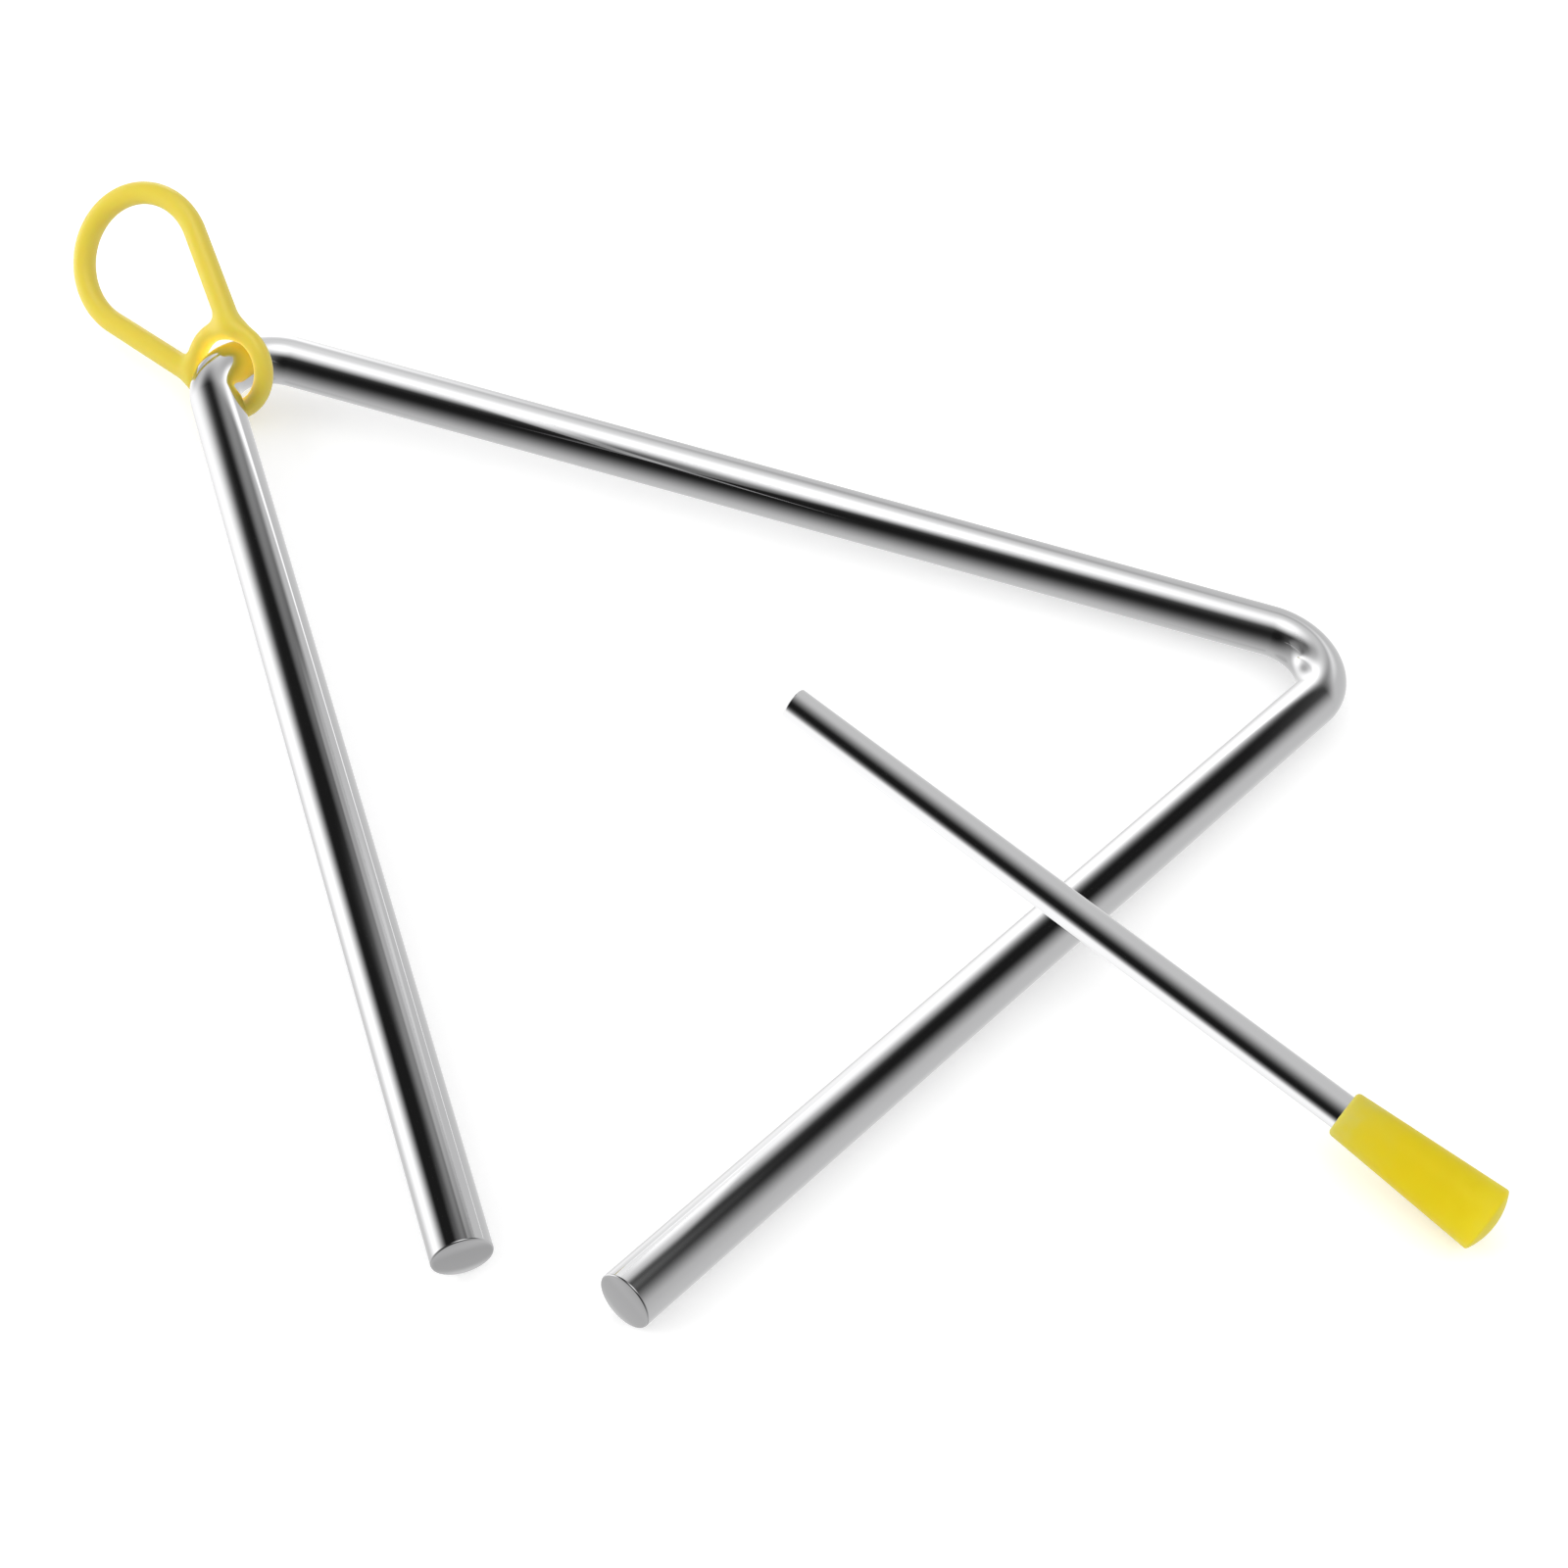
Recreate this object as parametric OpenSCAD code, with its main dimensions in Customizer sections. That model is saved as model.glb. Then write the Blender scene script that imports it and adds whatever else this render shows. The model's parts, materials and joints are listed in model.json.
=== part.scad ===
// Triangle, a small struck instrument: a steel bar bent into a triangle that is open
// at one corner, a moulded hanger with a finger loop, and a beater with a soft grip.
// It lies on a table, with the closed side along +X and the open corner towards -Y.
// The open side on the right lies flat. The hanger's ring lifts the corner on the left.

/* [Triangle bar] */
// Diameter of the round bar
bar_d = 8.5; // [7.5:0.1:8.8]
// Length of the closed side, between the corner points of the bar's centreline
side_l = 206; // [200:1:230]
// Length of each open side, from its corner point to its end face
open_side_l = 184.7; // [170:0.1:190]
// Radius of a closed corner, at the bar's centreline
bend_r = 9.8; // [9.7:0.1:10.5]
// Height of the dome on each end face
end_dome = 0.4; // [0.2:0.1:1.2]

/* [Hanger ring] */
// Radius of the ring, to the middle of its round section
ring_r = 6.8; // [6.5:0.1:7.2]
// Thickness of the ring's round section
ring_rod_d = 3.2; // [2.6:0.1:3.2]
// Place of the ring on the bend, in degrees from its middle towards the left side
ring_place = 8.5; // [0:0.5:12]
// Lean of the ring away from square to the bar
ring_lean = 24.5; // [18:0.5:26]

/* [Hanger loop] */
// Radius of the loop's round end, to the middle of its section
loop_r = 11.6; // [10:0.1:12.5]
// Thickness of the loop's round section
loop_rod_d = 3.8; // [2.8:0.1:4]
// Distance from the ring's centre to the centre of the loop's round end
loop_reach = 25.5; // [24:0.1:30]
// Angle of each arm of the loop to the loop's long axis
arm_angle = 17; // [14:0.5:20]
// Thickness of an arm where it joins the ring
arm_root_d = 4; // [3.6:0.1:4]
// Distance of an arm's root out from the middle of the ring's section
arm_root_out = 0.5; // [0.5:0.1:0.8]
// Turn of the hanger about its ring, up from level
hanger_turn = 17.5; // [15:0.5:40]
// Bend of the loop out of the ring's plane
loop_bend = 5.5; // [0:0.5:8]
// Twist of the loop against the ring
loop_twist = 10; // [0:0.5:12]

/* [Beater] */
// Whole length of the beater
beater_l = 128; // [120:0.5:140]
// Diameter of its rod
rod_d = 5.5; // [5:0.1:6]
// Radius of the rounded edge at the rod's tip
tip_edge_r = 0.4; // [0.2:0.1:0.8]
// Length of the rod from its tip to where it crosses the triangle's right side
tip_reach = 51.2; // [45:0.1:60]
// Length along the right side, from its corner point to the beater
cross_place = 91.2; // [85:0.1:120]
// Heading of the beater on the table
beater_heading = -25.7; // [-32:0.1:-20]

/* [Beater grip] */
// Length of the grip
grip_l = 26; // [20:0.5:30]
// Diameter of the grip at the rod
grip_small_d = 7.4; // [6.6:0.1:8]
// Diameter of the grip at its free end
grip_big_d = 10.3; // [9:0.1:12]
// Radius of the grip's rounded edge at its free end
grip_edge_r = 0.5; // [0.3:0.1:1]
// Rise of the dome on the grip's free end, from its rounded edge to its middle
grip_dome = 1.1; // [0.5:0.1:2]
// Radius of the grip's rounded edge at the rod
mouth_edge_r = 0.7; // [0.2:0.1:0.8]
// Depth to which the rod is pressed into the grip
grip_depth = 17; // [12:0.5:18]

/* [Joints and clearances] */
// Height by which the ball in a joint stands proud of the rods that it joins
joint_proud = 0.02; // [0.01:0.01:0.04]
// Gap between the ring and the table
ring_table_gap = 0.3; // [0.1:0.1:0.5]
// Gap between the rod and the bar that it lies on
rod_bar_gap = 0.1; // [0.05:0.05:0.3]
// Gap between the grip's edge and the table
grip_table_gap = 0.1; // [0.05:0.05:0.3]

/* [Hidden] */
$fn = 96;

bar_r = bar_d / 2;
rod_r = rod_d / 2;

// An equilateral triangle: each bend turns the bar by the outside angle.
corner_angle = 60;
bend_angle = 180 - corner_angle;
// Length that a bend takes from each side, measured from the corner point
bend_inset = bend_r / tan(corner_angle / 2);
// Distance from a corner point to the centre of its bend
bend_reach = bend_r / sin(corner_angle / 2);

// The left corner point is the plan's zero, and the closed side runs along +X.
corner_right = [side_l, 0, 0];
left_side_dir = [cos(corner_angle), -sin(corner_angle), 0];
right_side_dir = [-cos(corner_angle), -sin(corner_angle), 0];

// The ring's centre lies on the bend's centreline.
bend_centre = bend_reach * [cos(corner_angle / 2), -sin(corner_angle / 2), 0];
ring_heading = 180 - corner_angle / 2 + ring_place;
ring_out = [cos(ring_heading), sin(ring_heading), 0];
ring_centre = bend_centre + bend_r * ring_out;
ring_drop = ring_r * cos(ring_lean) + ring_rod_d / 2;

// The triangle tips about its right side until the ring is just clear of the table.
ring_to_right_side = (side_l - ring_centre[0]) * sin(corner_angle) + ring_centre[1] * cos(corner_angle);
tilt = asin((ring_drop + ring_table_gap - bar_r) / ring_to_right_side);

// Turns vector v about the unit axis k by angle a.
function turned(v, k, a) = v * cos(a) + cross(k, v) * sin(a) + k * (k * v) * (1 - cos(a));
// Place on the table of a point of the triangle's own plan
function tabled(p) = corner_right + turned(p - corner_right, -right_side_dir, tilt);

// The hanger's own frame has the ring's axis along z and the loop towards x. The loop's
// plane, with the sides loop_x and loop_y, is bent and twisted a little against the ring.
loop_x = [cos(loop_bend), 0, sin(loop_bend)];
loop_y = turned([0, 1, 0], loop_x, loop_twist);
loop_z = cross(loop_x, loop_y);
// Place or direction on the table of a direction v in the hanger's own frame
function hung(v) = turned(
    ring_out * (v[0] * cos(hanger_turn) - v[1] * sin(hanger_turn))
    + cross(ring_axis, ring_out) * (v[0] * sin(hanger_turn) + v[1] * cos(hanger_turn))
    + ring_axis * v[2], -right_side_dir, tilt);
up = [0, 0, 1];
ring_axis = turned(up, ring_out, 90 + ring_lean);
loop_centre = tabled(ring_centre) + hung(loop_reach * loop_x);
loop_normal = hung(loop_z);

// Each arm leaves the round end at a tangent and meets the ring's section from outside.
arm_foot_r = ring_r + arm_root_out;
arm_foot_angle = arm_angle + asin((loop_r - loop_reach * sin(arm_angle)) / arm_foot_r);

// The beater slopes from the top of the right side down to the table.
grip_reach = beater_l - tip_reach;
cross_h = bar_r + rod_r + rod_bar_gap;
grip_end_h = grip_big_d / 2 + grip_table_gap - bar_r;
beater_slope = asin((cross_h - grip_end_h) / grip_reach);
cross_point = corner_right + cross_place * right_side_dir + cross_h * up;
beater_dir = [
    cos(beater_slope) * cos(beater_heading), cos(beater_slope) * sin(beater_heading), -sin(beater_slope)
];

// The dome on the grip's free end is part of a ball, and touches its rounded edge's circle.
grip_rim_r = grip_big_d / 2 - grip_edge_r;
grip_rim_at = grip_l - grip_edge_r - grip_dome;
grip_dome_r = (grip_rim_r * grip_rim_r + grip_dome * grip_dome) / (2 * grip_dome) + grip_edge_r;
grip_dome_edge = asin(grip_rim_r / (grip_dome_r - grip_edge_r));

// Extent of a circle of radius r and unit normal n along plan axis i
function reach_along(r, n, i) = r * sqrt(1 - n[i] * n[i]);
left_x = loop_centre[0] - reach_along(loop_r, loop_normal, 0) - loop_rod_d / 2;
grip_rim = cross_point + (grip_reach - grip_l + grip_rim_at) * beater_dir;
right_x = acos(beater_dir[0]) < grip_dome_edge
    ? cross_point[0] + (grip_reach - grip_dome_r) * beater_dir[0] + grip_dome_r
    : grip_rim[0] + reach_along(grip_rim_r, beater_dir, 0) + grip_edge_r;
far_y = loop_centre[1] + reach_along(loop_r, loop_normal, 1) + loop_rod_d / 2;
near_y = (open_side_l - end_dome) * right_side_dir[1] - reach_along(bar_r, right_side_dir, 1);
table_centre = [(left_x + right_x) / 2, (far_y + near_y) / 2, -bar_r];

// Moves the plan so that the origin is on the table, below the middle of the whole part.
module placed() {
    translate(-table_centre) children();
}

// Lays the triangle's plan on the table.
module tipped() {
    placed() translate(corner_right) rotate(a = tilt, v = -right_side_dir) translate(-corner_right)
        children();
}

// The straight run of an open side, from its bend to the shallow dome of its end face
module open_run() {
    run_l = open_side_l - bend_inset;
    dome_r = (bar_r * bar_r + end_dome * end_dome) / (2 * end_dome);
    rotate_extrude() intersection() {
        translate([0, joint_proud]) square([bar_r, run_l]);
        union() {
            square([bar_r, run_l - dome_r]);
            translate([0, run_l - dome_r]) circle(r = dome_r);
        }
    }
}

// The ball in the joint between two rods of diameter d. The rods end just short of each
// other inside it, so that the solids join without faces that only touch.
module joint_ball(d) {
    sphere(d = d + 2 * joint_proud);
}

// Half of the bar: half of the closed side, the bend at the left corner and the open side
module half_bar() {
    translate([bend_inset, 0, 0]) {
        rotate([0, 90, 0]) {
            joint_ball(bar_d);
            translate([0, 0, joint_proud]) cylinder(d = bar_d, h = side_l / 2 - bend_inset - joint_proud);
        }
        translate([0, -bend_r, 0]) rotate([0, 0, 90]) rotate_extrude(angle = bend_angle)
            translate([bend_r, 0]) circle(d = bar_d);
    }
    translate(bend_inset * left_side_dir) rotate([0, 90, -corner_angle]) {
        joint_ball(bar_d);
        open_run();
    }
}

module triangle_bar() {
    color("silver") tipped() {
        half_bar();
        translate([side_l, 0, 0]) mirror([1, 0, 0]) half_bar();
    }
}

// A tapered rod from point p to point q, with a ball in the joint at each end
module tapered_rod(p, q, d_p, d_q) {
    v = q - p;
    rod_l = norm(v);
    translate(p) rotate([0, acos(v[2] / rod_l), atan2(v[1], v[0])]) {
        joint_ball(d_p);
        translate([0, 0, joint_proud]) cylinder(d1 = d_p, d2 = d_q, h = rod_l - 2 * joint_proud);
        translate([0, 0, rod_l]) joint_ball(d_q);
    }
}

// The hanger in its own frame
module hanger_moulding() {
    rotate_extrude() translate([ring_r, 0]) circle(d = ring_rod_d);
    for (side = [-1, 1])
        tapered_rod(
            arm_foot_r * [cos(arm_foot_angle), side * sin(arm_foot_angle), 0],
            loop_x * (loop_reach - loop_r * sin(arm_angle)) + loop_y * side * loop_r * cos(arm_angle),
            arm_root_d, loop_rod_d
        );
    rotate([0, -loop_bend, 0]) rotate([loop_twist, 0, 0]) translate([loop_reach, 0, 0])
        rotate([0, 0, -90 - arm_angle]) rotate_extrude(angle = 180 + 2 * arm_angle)
            translate([loop_r, 0]) circle(d = loop_rod_d);
}

module hanger() {
    color("gold") tipped() translate(ring_centre) rotate([0, 0, ring_heading])
        rotate([90 + ring_lean, 0, 0]) rotate([0, 0, hanger_turn]) hanger_moulding();
}

// The beater's own axis: zero at the crossing, and positive towards the grip
module along_beater() {
    placed() translate(cross_point) rotate([0, 90 + beater_slope, beater_heading]) children();
}

module beater_rod() {
    color("silver") along_beater() {
        translate([0, 0, tip_edge_r - tip_reach]) {
            cylinder(d = rod_d, h = beater_l - tip_edge_r - grip_l + grip_depth);
            rotate_extrude() translate([rod_r - tip_edge_r, 0]) circle(r = tip_edge_r);
            translate([0, 0, -tip_edge_r]) cylinder(r = rod_r - tip_edge_r, h = tip_edge_r);
        }
    }
}

// Half of the grip's section: a cone with rounded edges and a domed end
module grip_section() {
    dome_start = [
        grip_dome_r * sin(grip_dome_edge), grip_l - grip_dome_r * (1 - cos(grip_dome_edge))
    ];
    polygon([
        [0, 0], [grip_small_d / 2 - mouth_edge_r, 0], [grip_small_d / 2, mouth_edge_r],
        [grip_big_d / 2, grip_rim_at], dome_start, [0, dome_start[1]]
    ]);
    translate([grip_small_d / 2 - mouth_edge_r, mouth_edge_r]) circle(r = mouth_edge_r);
    translate([grip_rim_r, grip_rim_at]) circle(r = grip_edge_r);
    intersection() {
        translate([0, grip_l - grip_dome_r]) circle(r = grip_dome_r);
        translate([0, grip_rim_at]) square([dome_start[0], grip_l - grip_rim_at]);
    }
}

module beater_grip() {
    color("gold") along_beater() translate([0, 0, grip_reach - grip_l]) difference() {
        rotate_extrude() grip_section();
        cylinder(d = rod_d, h = grip_depth);
    }
}

triangle_bar();
hanger();
beater_rod();
beater_grip();
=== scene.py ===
import json
from math import asin, cos, degrees, pi, radians, sin, tan

import bpy
import numpy as np
from mathutils import Matrix, Vector

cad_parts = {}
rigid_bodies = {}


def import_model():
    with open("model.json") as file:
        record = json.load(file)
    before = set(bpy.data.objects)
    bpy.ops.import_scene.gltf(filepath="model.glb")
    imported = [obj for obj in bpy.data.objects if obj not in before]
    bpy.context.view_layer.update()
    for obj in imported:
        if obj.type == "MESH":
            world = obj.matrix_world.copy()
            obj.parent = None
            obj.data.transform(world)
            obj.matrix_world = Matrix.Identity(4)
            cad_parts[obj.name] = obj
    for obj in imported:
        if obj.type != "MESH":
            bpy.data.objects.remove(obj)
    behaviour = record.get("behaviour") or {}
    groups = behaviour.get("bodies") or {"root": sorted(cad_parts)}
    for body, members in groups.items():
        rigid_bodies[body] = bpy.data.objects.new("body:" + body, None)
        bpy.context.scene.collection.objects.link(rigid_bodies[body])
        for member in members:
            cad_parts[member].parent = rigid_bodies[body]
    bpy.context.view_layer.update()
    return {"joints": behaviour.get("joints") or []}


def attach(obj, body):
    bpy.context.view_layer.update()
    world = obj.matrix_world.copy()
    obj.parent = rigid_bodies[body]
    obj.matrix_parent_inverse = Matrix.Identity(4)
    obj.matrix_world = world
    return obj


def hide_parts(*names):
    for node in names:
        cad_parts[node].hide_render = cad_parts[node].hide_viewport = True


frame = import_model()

mm = 0.001

# The camera
# It stands in front of the open corner, above the table, and looks down at the set. It is
# turned a little about its own axis, so the closed side runs down to the right.
camera_at = Vector((0.018253, -0.272634, 0.302675))
camera_aim = Vector((0.013655, 0.013140, 0.0))
camera_roll = radians(13.936)
camera_lens = 61.024

camera_data = bpy.data.cameras.new("camera")
camera_data.lens = camera_lens
camera = bpy.data.objects.new("camera", camera_data)
bpy.context.scene.collection.objects.link(camera)
facing = (camera_aim - camera_at).to_track_quat("-Z", "Y").to_matrix().to_4x4()
camera.matrix_world = Matrix.Translation(camera_at) @ facing @ Matrix.Rotation(camera_roll, 4, "Z")
bpy.context.scene.camera = camera
bpy.context.scene.view_settings.view_transform = "Standard"


# The studio
# Two rooms of soft lights and black flags, one round the triangle and hanger and one round
# the beater, as each is lit for itself. The chrome mirrors them, and the camera sees white.
class Wire:
    """One output of a node. Sums, differences and products of wires add Math nodes."""

    def __init__(self, shader, socket):
        self.shader, self.socket = shader, socket

    def maths(self, operation, *values):
        return self.shader.add("ShaderNodeMath", {"operation": operation}, dict(enumerate(values)))

    def __add__(self, other):
        return self.maths("ADD", self, other)

    __radd__ = __add__

    def __sub__(self, other):
        return self.maths("SUBTRACT", self, other)

    def __rsub__(self, other):
        return self.maths("SUBTRACT", other, self)

    def __mul__(self, other):
        return self.maths("MULTIPLY", self, other)

    __rmul__ = __mul__


class Shader:
    """The nodes of one material or world, made one at a time with add."""

    def __init__(self, owner):
        owner.use_nodes = True
        self.tree = owner.node_tree
        self.tree.nodes.clear()

    def add(self, kind, settings=None, inputs=None, output=0):
        """A node of this kind, with its settings first, then its sockets' values or wires."""
        node = self.tree.nodes.new(kind)
        for name, value in (settings or {}).items():
            if name == "stops":
                for place, colour in value[2:]:
                    node.color_ramp.elements.new(place)
                for stop, (place, colour) in zip(node.color_ramp.elements, value):
                    stop.position, stop.color = place, (*colour, 1)
            else:
                setattr(node, name, value)
        for name, value in (inputs or {}).items():
            if isinstance(value, Wire):
                self.tree.links.new(value.socket, node.inputs[name])
            else:
                node.inputs[name].default_value = value
        return Wire(self, node.outputs[output]) if len(node.outputs) else node

    def fade(self, value, start, end):
        """A smooth step from 0 at start to 1 at end."""
        return self.add(
            "ShaderNodeMapRange", {"interpolation_type": "SMOOTHSTEP"},
            {"Value": value, "From Min": start, "From Max": end},
        )


def mirrored_light(light, shade, level, see_through):
    """Makes the object glow at this level, but only in reflections, and only in those of the
    pieces that are linked to the returned list."""
    surface = shade.add("ShaderNodeEmission", inputs={"Color": level, "Strength": 1.0})
    if see_through:
        clear = shade.add("ShaderNodeBsdfTransparent")
        surface = shade.add("ShaderNodeAddShader", inputs={0: surface, 1: clear})
    shade.add("ShaderNodeOutputMaterial", inputs={"Surface": surface})
    light.visible_camera = light.visible_diffuse = light.visible_transmission = False
    light.visible_shadow = light.visible_volume_scatter = False
    light.light_linking.receiver_collection = bpy.data.collections.new(light.name)
    return light.light_linking.receiver_collection.objects


def new_wall(name, points, faces):
    """A mesh object of a light, with its material and the shader of that."""
    mesh = bpy.data.meshes.new(name)
    mesh.from_pydata(points, [], faces)
    wall = bpy.data.objects.new(name, mesh)
    bpy.context.scene.collection.objects.link(wall)
    material = bpy.data.materials.new(name)
    material.cycles.emission_sampling = "NONE"
    shade = Shader(material)
    mesh.materials.append(material)
    return wall, shade


def studio_room(name, half, base, discs, see_through):
    """A box round the set, of which only reflections see the inside. Its walls glow at the
    base level. Each disc is a light or a flag on them: the heading and height of its middle,
    its full and its clear radius, all in degrees, and its level."""
    room, shade = new_wall(
        name, [(x * half, y * half, z * half) for x in (-1, 1) for y in (-1, 1) for z in (-1, 1)],
        [(0, 1, 3, 2), (4, 6, 7, 5), (0, 4, 5, 1), (2, 3, 7, 6), (0, 2, 6, 4), (1, 5, 7, 3)],
    )
    place = shade.add("ShaderNodeTexCoord", output="Object")
    direction = shade.add("ShaderNodeVectorMath", {"operation": "NORMALIZE"}, {0: place})
    level = base
    for (heading, height), full, clear, glow in discs:
        turn, rise = radians(heading), radians(height)
        axis = (cos(rise) * cos(turn), cos(rise) * sin(turn), sin(rise))
        dot = shade.add(
            "ShaderNodeVectorMath", {"operation": "DOT_PRODUCT"}, {0: direction, 1: axis}, "Value"
        )
        off_axis = dot.maths("ARCCOSINE", dot) * degrees(1)
        level = level + (glow - level) * shade.fade(off_axis, clear, full)
    return mirrored_light(room, shade, level, see_through)


# The last two discs of the triangle's room are flags for its end faces, and those of the
# beater's room are flags that its rod shows from behind.
in_bar_room = studio_room("bar_room", 20, 0.93, [
    ((146, 18), 24, 69, 3.5),
    ((56, 46), 10, 62, 0.02),
    ((165, 52), 20, 72, 0.02),
    ((-94, 27), 8, 108, 0.02),
    ((-109, 85), 0, 38, 1.97),
    ((139, -4), 3, 45, 0.75),
    ((59, -4), 34, 50, 0.93),
    ((-37, -60), 10, 20, 0.64),
    ((-154, -60), 10, 20, 0.75),
], see_through=False)
in_beater_room = studio_room("beater_room", 15, 0.97, [
    ((159, -26), 63, 80, 1.85),
    ((-54, 32), 64, 95, 0.02),
    ((9, 3), 71, 122, 1.0),
    ((8, 42), 6, 28, 0.02),
    ((125, 45), 4, 16, 0.05),
], see_through=True)

ambient = 0.86
world = bpy.data.worlds.new("studio")
bpy.context.scene.world = world
shade = Shader(world)
to_camera = shade.add("ShaderNodeLightPath", output="Is Camera Ray")
to_mirror = shade.add("ShaderNodeLightPath", output="Is Glossy Ray")
seen = to_camera.maths("MAXIMUM", to_camera, to_mirror)
level = ambient + (1 - ambient) * seen
sky = shade.add("ShaderNodeBackground", inputs={"Color": level, "Strength": 1.0})
shade.add("ShaderNodeOutputWorld", inputs={"Surface": sky})

key_power = 2.5
key_size = 0.5
key_at = Vector((-0.7, -0.35, 0.4))
key_data = bpy.data.lights.new("key_light", "AREA")
key_data.energy, key_data.size = key_power, key_size
key_light = bpy.data.objects.new("key_light", key_data)
bpy.context.scene.collection.objects.link(key_light)
facing = (-key_at).to_track_quat("-Z", "Y").to_matrix().to_4x4()
key_light.matrix_world = Matrix.Translation(key_at) @ facing
key_light.visible_glossy = False

# The table
# A white table top under the set. To the camera it is a little brighter than white where
# it is fully lit, so that only the contact shadows show.
table_half = 1.5
table_white = 0.9
table_glow = 0.35

table_mesh = bpy.data.meshes.new("table")
table_mesh.from_pydata(
    [(x * table_half, y * table_half, 0) for x, y in ((-1, -1), (1, -1), (1, 1), (-1, 1))],
    [], [(0, 1, 2, 3)],
)
table = bpy.data.objects.new("table", table_mesh)
bpy.context.scene.collection.objects.link(table)
paper = bpy.data.materials.new("table_white")
shade = Shader(paper)
to_camera = shade.add("ShaderNodeLightPath", output="Is Camera Ray")
surface = shade.add("ShaderNodeBsdfPrincipled", inputs={
    "Base Color": (table_white, table_white, table_white, 1), "Roughness": 0.9,
    "Specular IOR Level": 0.0, "Emission Color": to_camera * table_glow, "Emission Strength": 1.0,
})
shade.add("ShaderNodeOutputMaterial", inputs={"Surface": surface})
table_mesh.materials.append(paper)
table.visible_glossy = False

# The triangle's bar
# One round steel bar, bent cold into a triangle that stays open at one corner, then
# polished and chromed. Its ends are cut square, and the plating rounds their rims.
bar_r = 4.25 * mm
side_l = 206 * mm
open_side_l = 184.7 * mm
bend_r = 9.8 * mm
end_dome = 0.4 * mm
end_rim_r = 0.25 * mm
corner_angle = radians(60)
bar_around = 160
bend_step = radians(0.75)

hinge = next(joint for joint in frame["joints"] if joint["name"] == "hanger_turn")
ring_at = np.array(hinge["pos_m"])
ring_axis = np.array(hinge["axis"]) / np.linalg.norm(hinge["axis"])
ring_place = radians(8.5)


def turned(points, axis, angle):
    """Points turned about the unit axis by the angle, by the right-hand rule."""
    return (
        points * cos(angle) + np.cross(axis, points) * sin(angle)
        + np.outer(points @ axis, axis).reshape(np.shape(points)) * (1 - cos(angle))
    )


def ring_mesh(name, centres, radii, side, up):
    """A closed surface of rings. Point (i, j) is centre i plus radius i times the sum of
    cos(j) along side i and sin(j) along up i. The first and last rings shrink to points."""
    around = np.linspace(0, 2 * pi, bar_around, endpoint=False)
    side = np.broadcast_to(side, centres.shape)[1:-1, None]
    up = np.broadcast_to(up, centres.shape)[1:-1, None]
    spokes = np.cos(around)[:, None] * side + np.sin(around)[:, None] * up
    rings = centres[1:-1, None] + radii[1:-1, None, None] * spokes
    points = np.vstack([centres[:1], rings.reshape(-1, 3), centres[-1:]])
    index = 1 + np.arange(rings.shape[0] * bar_around).reshape(rings.shape[0], bar_around)
    after = np.roll(index, -1, axis=1)
    quads = np.stack([index[:-1], after[:-1], after[1:], index[1:]], axis=-1).reshape(-1, 4)
    last = len(points) - 1
    first_fan = np.stack([after[0], index[0], np.zeros(bar_around, int)], axis=-1)
    last_fan = np.stack([index[-1], after[-1], np.full(bar_around, last)], axis=-1)
    mesh = bpy.data.meshes.new(name)
    mesh.from_pydata(points, [], quads.tolist() + first_fan.tolist() + last_fan.tolist())
    corners = points[quads]
    volume = np.einsum("ij,ij->i", np.cross(corners[:, 0], corners[:, 1]), corners[:, 2]).sum()
    if volume < 0:
        mesh.flip_normals()
    mesh.shade_smooth()
    piece = bpy.data.objects.new(name, mesh)
    bpy.context.scene.collection.objects.link(piece)
    return piece


def end_profile(radius, dome, rim_r, steps=12):
    """Half of a round end, from its side wall to its middle: a rim of radius rim_r, then a
    dome of this height. Gives each point's distance from the wall's end and its radius."""
    reach = radius - rim_r
    dome_r = (reach ** 2 + dome ** 2) / (2 * dome)
    edge_tilt = asin(reach / dome_r)
    rim = np.linspace(0, pi / 2 - edge_tilt, steps)
    sweep = np.linspace(edge_tilt, 0, steps)
    rim_along, rim_out = rim_r * np.sin(rim), reach + rim_r * np.cos(rim)
    join = rim_along[-1] - dome_r * cos(edge_tilt)
    scale = rim_out[-1] / (dome_r * sin(edge_tilt))
    dome_along, dome_out = join + dome_r * np.cos(sweep), dome_r * np.sin(sweep) * scale
    along = np.concatenate([rim_along, dome_along[1:]])
    return along - along[-1], np.concatenate([rim_out, dome_out[1:]])


bend_angle = pi - corner_angle
bend_inset = bend_r / tan(corner_angle / 2)
bends = int(round(bend_angle / bend_step))
support = np.array([0, 0.05, 0.2, 0.8, 3, 10]) * mm
end_along, end_out = end_profile(bar_r, end_dome, end_rim_r)

# Distances along the bar from the middle of the closed side to the right end
half_side = side_l / 2 - bend_inset
bend_l = bend_r * bend_angle
run_l = open_side_l - bend_inset
bar_end = half_side + bend_l + run_l
along = np.concatenate([
    [0], half_side - support[::-1], half_side + np.linspace(0, bend_l, bends)[1:],
    half_side + bend_l + support[1:], bar_end + end_along[0] - support[::-1],
    bar_end + end_along[1:],
])
radii = np.concatenate([np.full(len(along) - len(end_out) + 1, bar_r), end_out[1:]])
turn = np.clip((along - half_side) / bend_r, 0, bend_angle)
past = np.maximum(along - half_side - bend_l, 0)
half_x = np.minimum(along, half_side) + bend_r * np.sin(turn) + past * cos(bend_angle)
half_y = -bend_r * (1 - np.cos(turn)) - past * sin(bend_angle)
mirror = slice(None, 0, -1)
heading = np.append(turn[mirror], -turn)
flat = np.stack([
    np.append(-half_x[mirror], half_x), np.append(half_y[mirror], half_y), 0 * heading,
], axis=1)
bar_side = np.stack([-np.sin(heading), np.cos(heading), 0 * heading], axis=1)
bar_radii = np.append(radii[mirror], radii)

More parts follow.
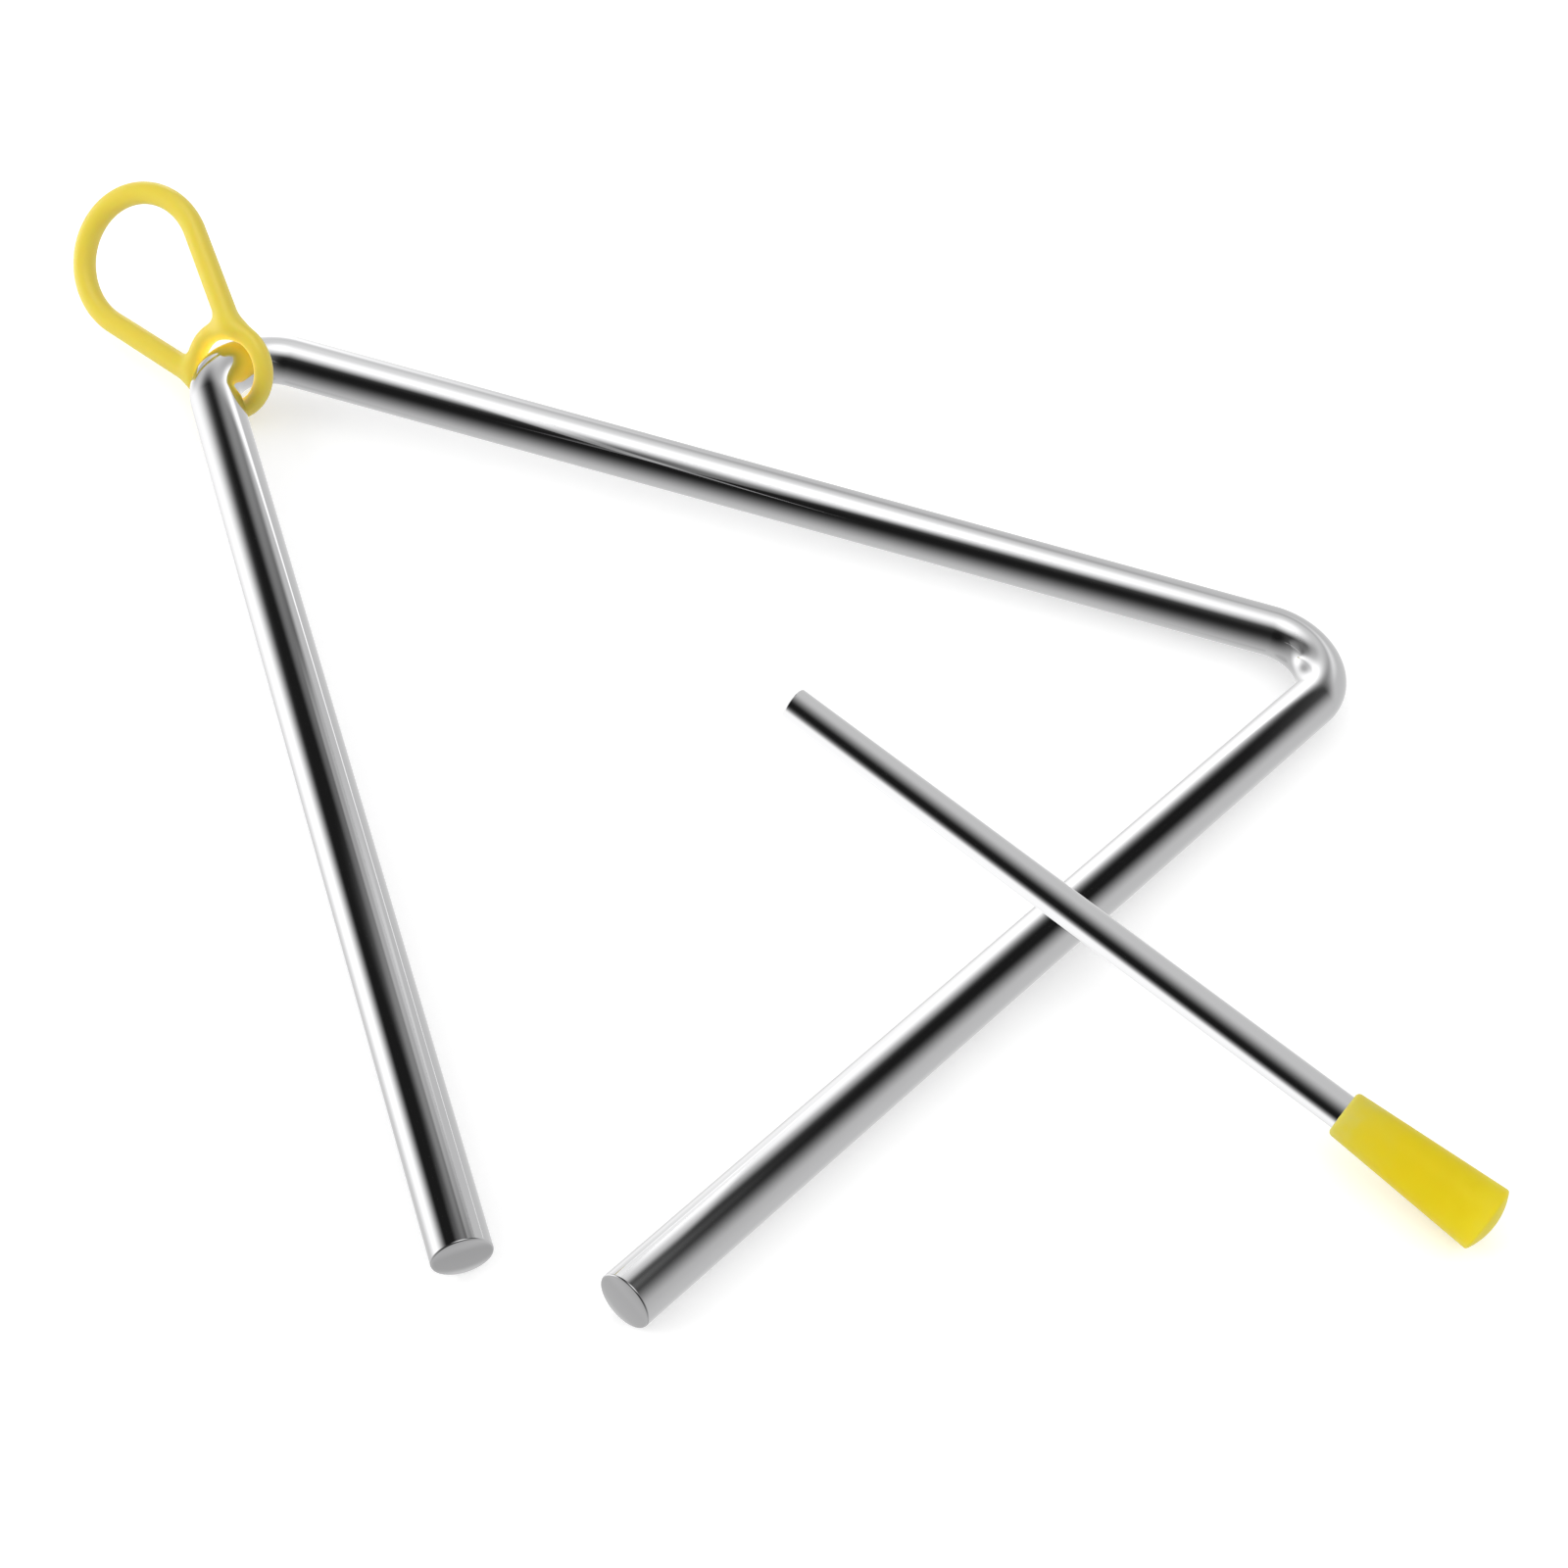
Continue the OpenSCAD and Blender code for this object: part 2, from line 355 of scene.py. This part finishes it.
# The plan's zero is the middle of the closed side. The right side lies on the table, and
# the ring holds up the left corner.
right_corner = np.array([side_l / 2, 0, 0])
bend_centre = np.array([-side_l / 2 + bend_inset, -bend_r, 0])
bend_end = bend_centre + bend_r * np.array([cos(pi / 2 + bend_angle), sin(pi / 2 + bend_angle), 0])
ring_heading = pi - corner_angle / 2 + ring_place
ring_plan = bend_centre + bend_r * np.array([cos(ring_heading), sin(ring_heading), 0])
right_side = np.array([cos(corner_angle), sin(corner_angle), 0])
lift = ring_at[2] - bar_r
ring_off = np.linalg.norm(np.cross(ring_plan - right_corner, right_side))
tilt = asin(lift / ring_off)
table_shift = ring_at - turned(ring_plan - right_corner, right_side, tilt)


def laid(points):
    """Points of the triangle's plan, tipped about its right side and laid on the table."""
    return turned(points - right_corner, right_side, tilt) + table_shift


bar_up = turned(np.array([0, 0, 1.0]), right_side, tilt)
bar = ring_mesh("bent_bar", laid(flat), bar_radii, turned(bar_side, right_side, tilt), bar_up)

chrome_grey = (0.52, 0.52, 0.525, 1)
chrome_rough = 0.06
polish_scale = 900
polish_rough = 0.03


def chrome(name):
    """Polished chromed steel: a clear mirror with faint polishing haze."""
    material = bpy.data.materials.new(name)
    shade = Shader(material)
    place = shade.add("ShaderNodeTexCoord", output="Object")
    haze = shade.add("ShaderNodeTexNoise", inputs={
        "Vector": place, "Scale": polish_scale, "Detail": 3.0,
    })
    surface = shade.add("ShaderNodeBsdfPrincipled", inputs={
        "Base Color": chrome_grey, "Metallic": 1.0,
        "Roughness": chrome_rough + polish_rough * (haze - 0.5),
    })
    shade.add("ShaderNodeOutputMaterial", inputs={"Surface": surface})
    return material


bar.data.materials.append(chrome("chromed_bar"))
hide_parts("triangle_bar")
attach(bar, "triangle")
bar.visible_glossy = False
in_bar_room.link(bar)

# Soft strips beside the left side and the right side, and one above the far, closed side
end_fade = 15 * mm


def strip_light(name, start, end, turn, reach, full, clear, shift, half_l, glow):
    """A long soft strip of light beside the bar from start to end, seen in the bar alone. It
    stands off at this reach, turned up about the bar from level. Its glow is full within
    full of its middle line and fades out to clear, and half_l off its middle it fades out
    over end_fade to both sides."""
    axis = (end - start) / np.linalg.norm(end - start)
    level_way = np.cross([0, 0, 1], axis)
    level_way /= np.linalg.norm(level_way)
    away = turned(level_way, axis, turn)
    tip = half_l + end_fade
    corners = [(x * clear, y * tip, 0) for x, y in ((-1, -1), (1, -1), (1, 1), (-1, 1))]
    strip, shade = new_wall(name, corners, [(0, 1, 2, 3)])
    place = Matrix((np.cross(axis, away), axis, away)).transposed().to_4x4()
    place.translation = (start + end) / 2 + away * reach + axis * shift
    strip.matrix_world = place
    spot = shade.add("ShaderNodeTexCoord", output="Object")
    across = shade.add("ShaderNodeSeparateXYZ", inputs={"Vector": spot})
    along = Wire(shade, across.socket.node.outputs["Y"])
    soft = shade.fade(across.maths("ABSOLUTE", across), clear, full)
    soft = soft * shade.fade(along.maths("ABSOLUTE", along), tip, half_l - end_fade)
    mirrored_light(strip, shade, soft * glow, see_through=True).link(bar)


far_start = np.array([-half_side, 0, 0])
right_bend_end = bend_end * (-1, 1, 1)
strip_light("left_strip", laid(bend_end), laid(flat[0]), radians(57), 60 * mm,
            7.5 * mm, 16.5 * mm, -2 * mm, 63 * mm, 0.43)
strip_light("right_strip", laid(right_bend_end), laid(flat[-1]), radians(134), 98 * mm,
            7.5 * mm, 54.5 * mm, 1 * mm, 66 * mm, 0.25)
strip_light("far_strip", laid(far_start), laid(-far_start), radians(73), 14 * mm,
            0, 10.5 * mm, 0, 100 * mm, 1.2)

# The hanger
# One moulding of soft yellow plastic. Its small ring is threaded on the bar, and its finger
# loop runs into the ring in rounded fillets.
ring_r = 6.8 * mm
ring_rod_r = 1.6 * mm
loop_r = 11.6 * mm
loop_rod_r = 1.9 * mm
loop_reach = 25.5 * mm
arm_angle = radians(17)
arm_root_r = 2 * mm
arm_root_out = 0.5 * mm
hanger_turn = radians(17.5)
loop_bend = radians(5.5)
loop_twist = radians(10)
fillet = 2.2 * mm
bar_clearance = 0.1 * mm
bore_r = 5 * mm
bore_flare = 1.7
bore_soft = 0.3 * mm
hanger_voxel = 0.22 * mm

# The bar's middle line at the left corner, in the plan: the bend's middle and two sides
out_heading = pi - corner_angle / 2
bend_middle = bend_centre + bend_r * np.array([cos(out_heading), sin(out_heading), 0])
closed_side = (far_start, np.zeros(3))
open_side = (bend_end, flat[0])
ring_out = turned(np.array([cos(ring_heading), sin(ring_heading), 0]), right_side, tilt)
ring_out -= ring_axis * (ring_out @ ring_axis)
ring_out /= np.linalg.norm(ring_out)
ring_x = turned(ring_out, ring_axis, hanger_turn)
ring_y = np.cross(ring_axis, ring_x)
loop_x = ring_x * cos(loop_bend) + ring_axis * sin(loop_bend)
loop_y = turned(ring_y, loop_x, loop_twist)
loop_z = np.cross(loop_x, loop_y)
loop_at = ring_at + loop_reach * loop_x
foot_r = ring_r + arm_root_out
foot_angle = arm_angle + asin((loop_r - loop_reach * sin(arm_angle)) / foot_r)
feet = [
    ring_at + foot_r * (cos(foot_angle) * ring_x + side * sin(foot_angle) * ring_y)
    for side in (-1, 1)
]
tops = [
    loop_at + loop_r * (side * cos(arm_angle) * loop_y - sin(arm_angle) * loop_x)
    for side in (-1, 1)
]


def to_circle(points, centre, axis, radius):
    """Distance of points from the circle with this centre, axis and radius."""
    arm = points - centre
    height = arm @ axis
    across = np.linalg.norm(arm - height[:, None] * axis, axis=1)
    return np.hypot(across - radius, height)


def to_line(points, start, end):
    """Distance of points from a straight line, and their share of its length."""
    span = end - start
    share = np.clip((points - start) @ span / (span @ span), 0, 1)
    return np.linalg.norm(points - start - share[:, None] * span, axis=1), share


def to_arm(points, foot, top):
    """Distance of points from a round arm that tapers from its foot to its top."""
    gap, share = to_line(points, foot, top)
    return gap - (arm_root_r + (loop_rod_r - arm_root_r) * share)


def to_bar(points):
    """Distance of points from the bar's surface near its left corner."""
    centre = laid(bend_centre)
    arm = points - centre
    towards = arm @ (laid(bend_middle) - centre) / bend_r
    in_bend = towards > cos(bend_angle / 2) * np.linalg.norm(arm, axis=1)
    gaps = [to_line(points, laid(start), laid(end))[0] for start, end in (closed_side, open_side)]
    gaps.append(np.where(in_bend, to_circle(points, centre, bar_up, bend_r), np.inf))
    return np.min(gaps, axis=0) - bar_r


def soft_least(one, other, width):
    """The lesser of two distances, rounded where they differ by less than the width."""
    blend = np.maximum(width - abs(one - other), 0) / width
    return np.minimum(one, other) - blend ** 2 * width / 4


def hanger_depth(points):
    """Distance from the hanger's surface: the loop's round end and its two arms, joined
    softly to the ring. The ring's bore stays free for the bar as the hanger swings: its
    radius is the root of bore_r squared plus the square of bore_flare times the height."""
    arm = points - loop_at
    along, across = arm @ loop_x, arm @ loop_y
    past = np.abs(np.arctan2(across, along)) - (pi / 2 + arm_angle)
    end = np.where(past <= 0, to_circle(points, loop_at, loop_z, loop_r), np.inf)
    for top in tops:
        end = np.minimum(end, np.linalg.norm(points - top, axis=1))
    arms = [to_arm(points, foot, top) for foot, top in zip(feet, tops)]
    loop = np.minimum(end - loop_rod_r, soft_least(*arms, fillet))
    ring = to_circle(points, ring_at, ring_axis, ring_r) - ring_rod_r
    whole = soft_least(loop, ring, fillet)
    arm = points - ring_at
    height = arm @ ring_axis
    out = np.linalg.norm(arm - height[:, None] * ring_axis, axis=1)
    whole = -soft_least(-whole, out - np.hypot(bore_r, bore_flare * height), bore_soft)
    return np.maximum(whole, bar_clearance - to_bar(points))


def onto_hanger(points, rounds=8, probe=1e-5 * mm, least_slope=0.5):
    """Moves points along the distance's slope until they lie on the hanger's surface."""
    for _ in range(rounds):
        depth = hanger_depth(points)
        slope = np.stack(
            [(hanger_depth(points + step) - hanger_depth(points - step)) / (2 * probe)
             for step in probe * np.eye(3)], axis=1,
        )
        steepness = np.maximum((slope ** 2).sum(1), least_slope ** 2)
        points = points - depth[:, None] * slope / steepness[:, None]
    return points


def hoop(name, centre, x, y, axis, radius, rod_r, start, end, steps=96):
    """A round rod bent along a circle's arc, from angle start to end, with pointed ends."""
    angle = np.linspace(start, end, steps)[:, None]
    out = np.cos(angle) * x + np.sin(angle) * y
    path = centre + radius * out
    radii = np.full(steps, rod_r)
    radii[[0, -1]] = 0
    return ring_mesh(name, path, radii, out, axis)


# The parts overlap a little, so that the skin closes over them
ring_lap = 0.1
loop_lap = 0.05
arm_rings = 20
loop_sweep = pi / 2 + arm_angle + loop_lap
ring_shape = (ring_at, ring_x, ring_y, ring_axis, ring_r, ring_rod_r)
parts = [
    hoop("ring_near_half", *ring_shape, -ring_lap, pi + ring_lap),
    hoop("ring_far_half", *ring_shape, pi - ring_lap, 2 * pi + ring_lap),
    hoop("loop_end", loop_at, loop_x, loop_y, loop_z, loop_r, loop_rod_r, -loop_sweep, loop_sweep),
]
for foot, top in zip(feet, tops):
    share = np.linspace(0, 1, arm_rings)
    radii = arm_root_r + (loop_rod_r - arm_root_r) * share
    radii[[0, -1]] = 0
    run = (top - foot) / np.linalg.norm(top - foot)
    side = np.cross(run, loop_z)
    side /= np.linalg.norm(side)
    path = foot + share[:, None] * (top - foot)
    parts.append(ring_mesh("arm", path, radii, side, np.cross(run, side)))
bpy.ops.object.select_all(action="DESELECT")
for part in parts:
    part.select_set(True)
bpy.context.view_layer.objects.active = parts[0]
bpy.ops.object.join()
hanger = parts[0]
hanger.name = hanger.data.name = "yellow_hanger"
remesh = hanger.modifiers.new("skin", "REMESH")
remesh.mode, remesh.voxel_size = "VOXEL", hanger_voxel
bpy.ops.object.modifier_apply(modifier="skin")
count = len(hanger.data.vertices)
points = np.empty(3 * count)
hanger.data.vertices.foreach_get("co", points)
points = onto_hanger(points.reshape(-1, 3))
hanger.data.vertices.foreach_set("co", points.ravel())
hanger.data.update()
hanger.data.shade_smooth()

cloud_scale = 260
cloud_tone = 0.35
plastic_rough = 0.45
cloud_rough = 0.1
glow_through = 0.8
glow_colour = (1.0, 0.65, 0.15)
glow_depth = 1.5 * mm
hanger_tones = [(0, (0.73, 0.58, 0.032)), (1, (0.79, 0.67, 0.075))]
hanger_shine = 1.0


def yellow_plastic(name, stops, across, shift, shine):
    """Satin yellow plastic that lets a little light through. Its tone follows the stops, as
    the place along across, plus shift, goes from 0 to 1, and a cloud stirs it a little."""
    material = bpy.data.materials.new(name)
    shade = Shader(material)
    place = shade.add("ShaderNodeTexCoord", output="Object")
    cloud = shade.add("ShaderNodeTexNoise", inputs={
        "Vector": place, "Scale": cloud_scale, "Detail": 2.0,
    })
    along = shade.add(
        "ShaderNodeVectorMath", {"operation": "DOT_PRODUCT"}, {0: place, 1: across}, "Value"
    )
    stirred = along + shift + cloud_tone * (cloud - 0.5)
    surface = shade.add("ShaderNodeBsdfPrincipled", inputs={
        "Base Color": shade.add("ShaderNodeValToRGB", {"stops": stops}, {"Fac": stirred}),
        "Roughness": plastic_rough + cloud_rough * (cloud - 0.5), "Specular IOR Level": shine,
        "Subsurface Weight": glow_through, "Subsurface Radius": glow_colour,
        "Subsurface Scale": glow_depth,
    })
    shade.add("ShaderNodeOutputMaterial", inputs={"Surface": surface})
    return material


hanger.data.materials.clear()
hanger.data.materials.append(
    yellow_plastic("hanger_plastic", hanger_tones, (0, 0, 0), 0.5, hanger_shine)
)
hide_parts("hanger")
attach(hanger, "hanger")
in_bar_room.link(hanger)

# Light inside the ring, which stands for what the bright chrome throws back on it
ring_light_power = 0.0018
ring_light_r = 2 * mm
ring_light_colour = (1, 0.78, 0.35)
ring_data = bpy.data.lights.new("ring_light", "POINT")
ring_data.energy, ring_data.color = ring_light_power, ring_light_colour
ring_data.shadow_soft_size = ring_light_r
ring_lamp = bpy.data.objects.new("ring_light", ring_data)
bpy.context.scene.collection.objects.link(ring_lamp)
ring_lamp.location = ring_at
ring_lamp.visible_glossy = False
ring_only = bpy.data.collections.new("ring_only")
ring_only.objects.link(hanger)
ring_lamp.light_linking.receiver_collection = ring_only
ring_lamp.light_linking.blocker_collection = ring_only

# The beater's rod
# A straight chromed steel rod. It lies across the triangle's right side and slopes down to
# the table. Its striking end is cut square, with the edge just broken.
beater_l = 128 * mm
rod_r = 2.75 * mm
tip_edge_r = 0.4 * mm
tip_reach = 51.2 * mm
cross_place = 91.2 * mm
beater_heading = radians(-25.7)
rod_bar_gap = 0.1 * mm
grip_l = 26 * mm
grip_depth = 17 * mm
grip_small_r = 3.7 * mm
grip_big_r = 5.15 * mm
grip_table_gap = 0.1 * mm

grip_reach = beater_l - tip_reach
cross_up = bar_r + rod_r + rod_bar_gap
slope = asin((cross_up - (grip_big_r + grip_table_gap - bar_r)) / grip_reach)
cross_at = table_shift - cross_place * right_side + np.array([0, 0, cross_up])
level_dir = np.array([cos(beater_heading), sin(beater_heading), 0])
beater_dir = level_dir * cos(slope) - np.array([0, 0, sin(slope)])
beater_side = np.array([-sin(beater_heading), cos(beater_heading), 0])
beater_up = np.cross(beater_dir, beater_side)


def lathed(name, along, radii):
    """A round piece on the beater's axis: its radius at each distance from the crossing."""
    path = cross_at + np.outer(along, beater_dir)
    return ring_mesh(name, path, np.array(radii), beater_side, beater_up)


edge = np.linspace(pi / 2, 0, 8)
rod_l = beater_l - grip_l + grip_depth
rod_along = np.concatenate([
    [0, 0], tip_edge_r * (1 - np.sin(edge)), tip_edge_r + support[1:],
    rod_l - support[::-1], [rod_l],
]) - tip_reach
rod_out = np.concatenate([
    [0, rod_r - 2 * tip_edge_r], rod_r - tip_edge_r * (1 - np.cos(edge)),
    np.full(2 * len(support) - 1, rod_r), [0],
])
rod = lathed("beater_steel", rod_along, rod_out)
rod.data.materials.append(chrome("chromed_rod"))
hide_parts("beater_rod")
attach(rod, "beater")
rod.visible_glossy = False
in_beater_room.link(rod)

# The beater's grip
# A blunt yellow cone of soft plastic, moulded with a bore and pressed over the rod. Its
# free end is a low dome with a crisp rim.
grip_edge_r = 0.5 * mm
grip_dome = 1.1 * mm
mouth_edge_r = 0.7 * mm
grip_shine = 0.2
# The grip's tone from its mouth (0) to its far end (1). The middle is the plastic's own saturated
# yellow. The paler, greener mouth is painted light from the chrome rod, and the brighter, paler far
# end is a painted rim sheen.
grip_tone_and_painted_light = [
    (0, (0.66, 0.59, 0.10)), (0.12, (0.69, 0.585, 0.035)), (0.35, (0.73, 0.585, 0.006)),
    (0.7, (0.75, 0.60, 0.004)), (0.9, (0.79, 0.65, 0.012)), (1, (0.79, 0.66, 0.03)),
]

grip_start = grip_reach - grip_l
grip_rim_r = grip_big_r - grip_edge_r
grip_rim_at = grip_l - grip_edge_r - grip_dome
grip_dome_r = (grip_rim_r ** 2 + grip_dome ** 2) / (2 * grip_dome) + grip_edge_r
dome_edge = asin(grip_rim_r / (grip_dome_r - grip_edge_r))
cone_tilt = np.arctan2(grip_big_r - grip_small_r, grip_rim_at - mouth_edge_r)
mouth = np.linspace(pi, pi / 2 + cone_tilt, 12)
rim = np.linspace(pi / 2 + cone_tilt, dome_edge, 12)
dome = np.linspace(dome_edge, 0, 12)[1:]
grip_along = grip_start + np.concatenate([
    [grip_depth, grip_depth, 0], mouth_edge_r * (1 + np.cos(mouth)),
    grip_rim_at + grip_edge_r * np.cos(rim), grip_l - grip_dome_r * (1 - np.cos(dome)),
])
grip_out = np.concatenate([
    [0, rod_r, rod_r], grip_small_r - mouth_edge_r * (1 - np.sin(mouth)),
    grip_rim_r + grip_edge_r * np.sin(rim), grip_dome_r * np.sin(dome),
])
grip = lathed("yellow_grip", grip_along, grip_out)
mouth_place = (cross_at @ beater_dir + grip_start) / grip_l
grip.data.materials.append(
    yellow_plastic("grip_plastic", grip_tone_and_painted_light, tuple(beater_dir / grip_l), -mouth_place, grip_shine)
)
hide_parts("beater_grip")
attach(grip, "beater")
grip.visible_glossy = False
in_bar_room.link(grip)
